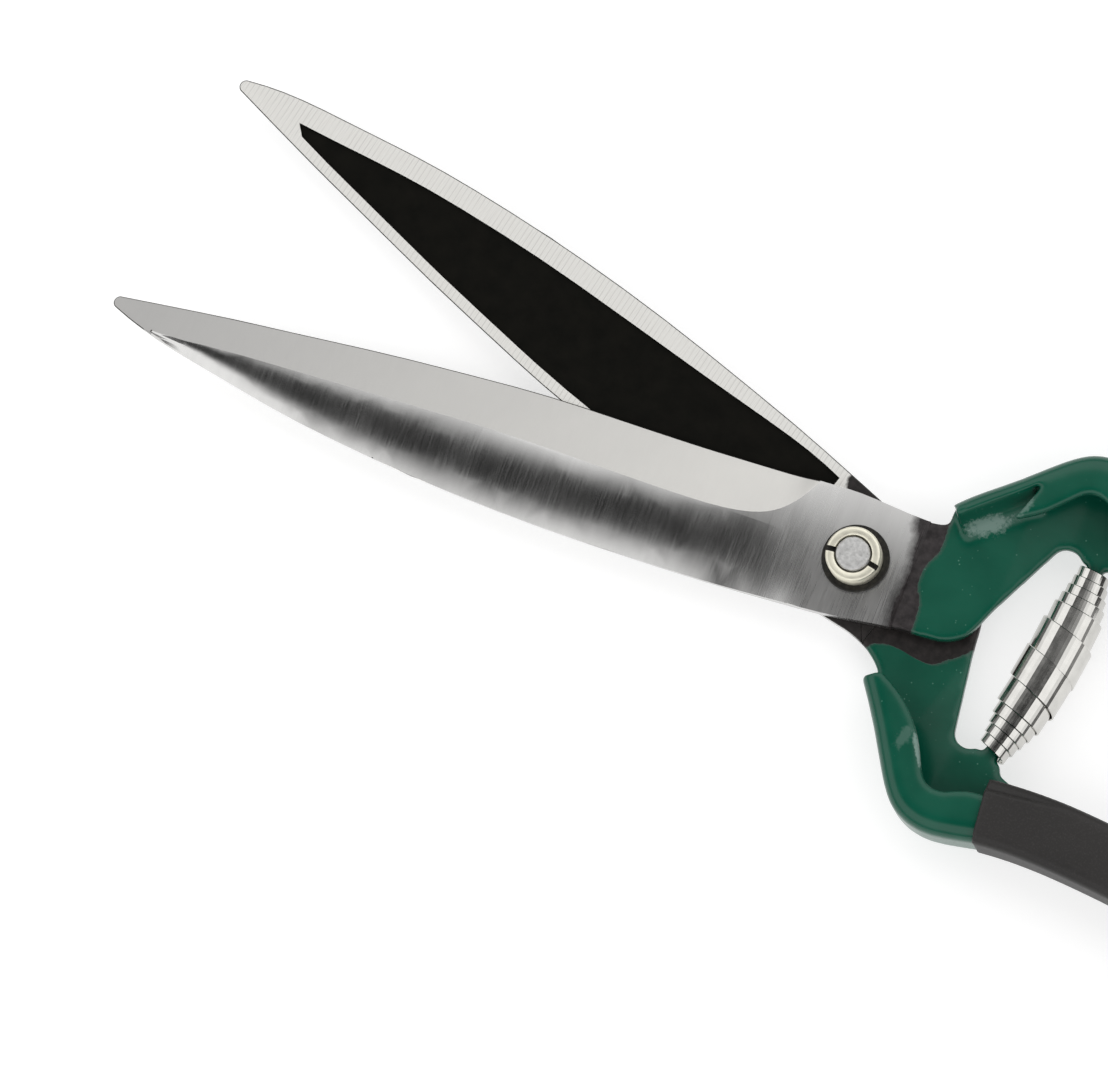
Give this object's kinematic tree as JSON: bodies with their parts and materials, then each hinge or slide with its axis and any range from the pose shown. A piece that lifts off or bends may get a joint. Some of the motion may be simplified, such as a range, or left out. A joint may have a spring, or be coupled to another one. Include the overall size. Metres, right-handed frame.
{
  "type": "hedge shears",
  "caption": "One-handed hedge shears with long straight blades, folded steel handles in soft grips, a volute spring between the arms and a wire bail that holds them shut.",
  "frame": {"origin": "on the pivot axis, at the underside of the pivot bolt's head", "axes": "+X from the pivot between the open blades to their tips, +Y towards the rear half's handle, +Z along the pivot from the bolt head to the nut"},
  "size_m": [0.3264, 0.0968, 0.0234],
  "materials": {
    "ground_steel": "ground and cross-brushed, black scale in the hollow and at the neck",
    "green_enamel": "glossy dipped enamel",
    "grip_vinyl": "soft matte vinyl",
    "bolt_steel": "plain steel, peened end",
    "dark_washer": "blackened steel",
    "bright_plating": "bright nickel plating"
  },
  "bodies": {
    "rear": {"rear_half": "ground_steel", "rear_grip": "grip_vinyl", "pivot_bolt": "bolt_steel", "nut_washer": "dark_washer", "pivot_nut": "bright_plating", "volute_spring": "bright_plating"},
    "front": {"front_half": "ground_steel", "front_grip": "grip_vinyl"},
    "bail": {"locking_bail": "bright_plating"}
  },
  "joints": [
    {"name": "pivot", "type": "hinge", "parent": "rear", "child": "front", "pos_m": [0, 0, 0.00765], "axis": [0, 0, 1], "range_deg": [-18.3, 0], "stiffness_Nm_per_rad": 1.2, "springref_deg": 14.32, "deforming": ["volute_spring"]},
    {"name": "bail_swing", "type": "hinge", "parent": "front", "child": "bail", "pos_m": [-0.13874, -0.03787, 0.01255], "axis": [0, 0, 1], "range_deg": [-253, 0]}
  ]
}
